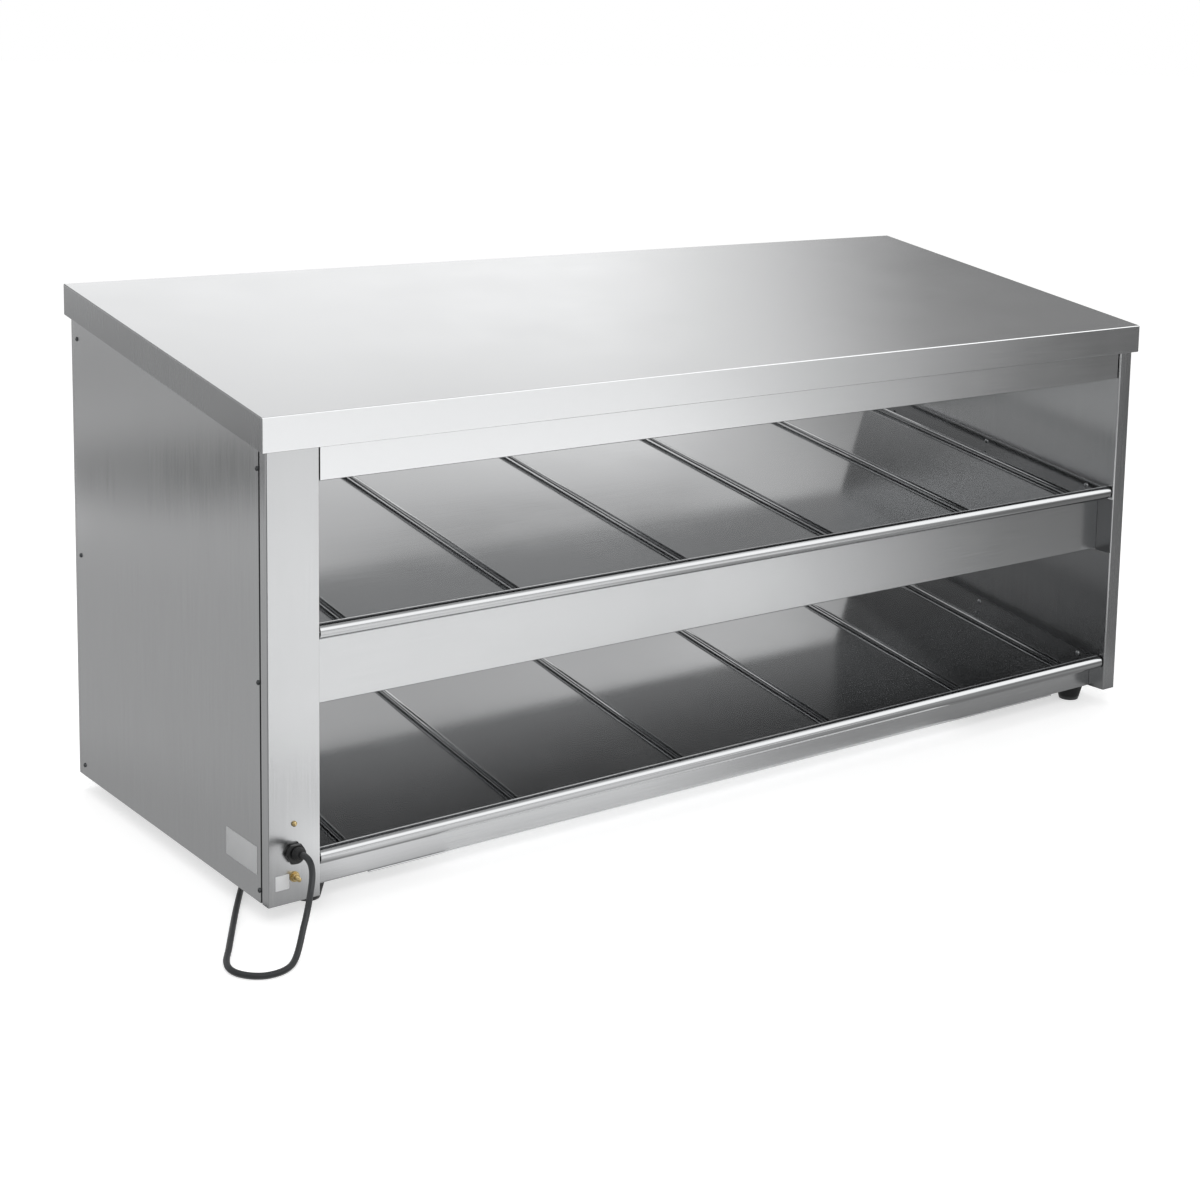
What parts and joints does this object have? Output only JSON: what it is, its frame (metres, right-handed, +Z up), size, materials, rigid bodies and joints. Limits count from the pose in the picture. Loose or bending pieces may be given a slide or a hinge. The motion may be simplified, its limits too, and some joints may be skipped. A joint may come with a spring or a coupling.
{
  "type": "heated display case",
  "caption": "Open heated display case: sloping stainless shelves with sliding divider rods under a folded sloping lid, on rubber feet, with a thermostat dial, rocker switch and cord.",
  "frame": {"origin": "centre of the case's bounding box without its cord, on the surface that the feet stand on", "axes": "+X along the width, from the thick service wall on the customer's left to the thin wall on the right; +Y from the low customer side to the high service side; +Z up"},
  "size_m": [1.4769, 0.7071, 0.6451],
  "materials": {
    "satin_steel": "fine brushed stainless steel",
    "polished_steel": "bright polished stainless steel rod",
    "brass": "plain turned brass",
    "black_rubber": "matt moulded rubber",
    "black_plastic": "moulded polyamide",
    "cord_rubber": "grey-black rubber sheath",
    "red_silicone": "fabric-faced silicone",
    "mineral_wool": "fibrous board",
    "white_ceramic": "glazed insulator"
  },
  "bodies": {
    "cabinet": {"top_cover": "satin_steel", "top_stiffener_front": "satin_steel", "top_stiffener_rear": "satin_steel", "roof_liner": "satin_steel", "left_wall_shell": "satin_steel", "right_wall_shell": "satin_steel", "left_outer_panel": "satin_steel", "right_outer_panel": "satin_steel", "left_wall_base": "satin_steel", "right_wall_base": "satin_steel", "upper_shelf_tray": "satin_steel", "upper_heating_mat": "red_silicone", "upper_insulation_board": "mineral_wool", "upper_front_apron": "satin_steel", "upper_rear_apron": "satin_steel", "lower_shelf_tray": "satin_steel", "lower_heating_mat": "red_silicone", "lower_insulation_board": "mineral_wool", "lower_front_apron": "satin_steel", "lower_rear_apron": "satin_steel", "upper_closing_sheet": "satin_steel", "bottom_pan": "satin_steel", "bottom_cover": "satin_steel", "front_left_foot": "black_rubber", "front_right_foot": "black_rubber", "rear_left_foot": "black_rubber", "rear_right_foot": "black_rubber", "gland_boot": "black_rubber", "cord_tie": "black_rubber", "mains_plug": "black_rubber", "supply_lead": "black_rubber", "switch_lead": "black_rubber", "upper_heater_lead": "black_rubber", "lower_heater_lead": "black_rubber", "cable_gland": "black_plastic", "gland_locknut": "black_plastic", "power_switch_body": "black_plastic", "bonding_bolt": "brass", "bonding_nut": "brass", "ground_screw": "brass", "thermostat_body": "white_ceramic", "terminal_block": "white_ceramic", "power_cord": "cord_rubber", "power_cord_coil": "cord_rubber", "power_cord_tail": "cord_rubber"},
    "upper_divider_1": {"upper_divider_rod_1": "polished_steel"},
    "upper_divider_2": {"upper_divider_rod_2": "polished_steel"},
    "upper_divider_3": {"upper_divider_rod_3": "polished_steel"},
    "upper_divider_4": {"upper_divider_rod_4": "polished_steel"},
    "upper_divider_5": {"upper_divider_rod_5": "polished_steel"},
    "upper_divider_6": {"upper_divider_rod_6": "polished_steel"},
    "lower_divider_1": {"lower_divider_rod_1": "polished_steel"},
    "lower_divider_2": {"lower_divider_rod_2": "polished_steel"},
    "lower_divider_3": {"lower_divider_rod_3": "polished_steel"},
    "lower_divider_4": {"lower_divider_rod_4": "polished_steel"},
    "lower_divider_5": {"lower_divider_rod_5": "polished_steel"},
    "lower_divider_6": {"lower_divider_rod_6": "polished_steel"},
    "thermostat_dial": {"thermostat_knob": "black_plastic", "thermostat_shaft": "polished_steel"},
    "switch_rocker": {"power_switch_rocker": "black_plastic"}
  },
  "joints": [
    {"name": "upper_divider_1_slide", "type": "slide", "parent": "cabinet", "child": "upper_divider_1", "axis": [1, 0, 0], "range_m": [-0.048, 0.111]},
    {"name": "upper_divider_2_slide", "type": "slide", "parent": "cabinet", "child": "upper_divider_2", "axis": [1, 0, 0], "range_m": [-0.111, 0.122]},
    {"name": "upper_divider_3_slide", "type": "slide", "parent": "cabinet", "child": "upper_divider_3", "axis": [1, 0, 0], "range_m": [-0.122, 0.12]},
    {"name": "upper_divider_4_slide", "type": "slide", "parent": "cabinet", "child": "upper_divider_4", "axis": [1, 0, 0], "range_m": [-0.12, 0.123]},
    {"name": "upper_divider_5_slide", "type": "slide", "parent": "cabinet", "child": "upper_divider_5", "axis": [1, 0, 0], "range_m": [-0.123, 0.102]},
    {"name": "upper_divider_6_slide", "type": "slide", "parent": "cabinet", "child": "upper_divider_6", "axis": [1, 0, 0], "range_m": [-0.102, 0.034]},
    {"name": "lower_divider_1_slide", "type": "slide", "parent": "cabinet", "child": "lower_divider_1", "axis": [1, 0, 0], "range_m": [-0.044, 0.112]},
    {"name": "lower_divider_2_slide", "type": "slide", "parent": "cabinet", "child": "lower_divider_2", "axis": [1, 0, 0], "range_m": [-0.112, 0.121]},
    {"name": "lower_divider_3_slide", "type": "slide", "parent": "cabinet", "child": "lower_divider_3", "axis": [1, 0, 0], "range_m": [-0.121, 0.121]},
    {"name": "lower_divider_4_slide", "type": "slide", "parent": "cabinet", "child": "lower_divider_4", "axis": [1, 0, 0], "range_m": [-0.121, 0.121]},
    {"name": "lower_divider_5_slide", "type": "slide", "parent": "cabinet", "child": "lower_divider_5", "axis": [1, 0, 0], "range_m": [-0.121, 0.1]},
    {"name": "lower_divider_6_slide", "type": "slide", "parent": "cabinet", "child": "lower_divider_6", "axis": [1, 0, 0], "range_m": [-0.1, 0.042]},
    {"name": "thermostat_turn", "type": "hinge", "parent": "cabinet", "child": "thermostat_dial", "pos_m": [-0.66125, 0.25015, 0.433], "axis": [0, -1, 0], "range_deg": [0, 270]},
    {"name": "switch_tilt", "type": "hinge", "parent": "cabinet", "child": "switch_rocker", "pos_m": [-0.66125, 0.24835, 0.353], "axis": [-1, 0, 0], "range_deg": [0, 18]}
  ]
}
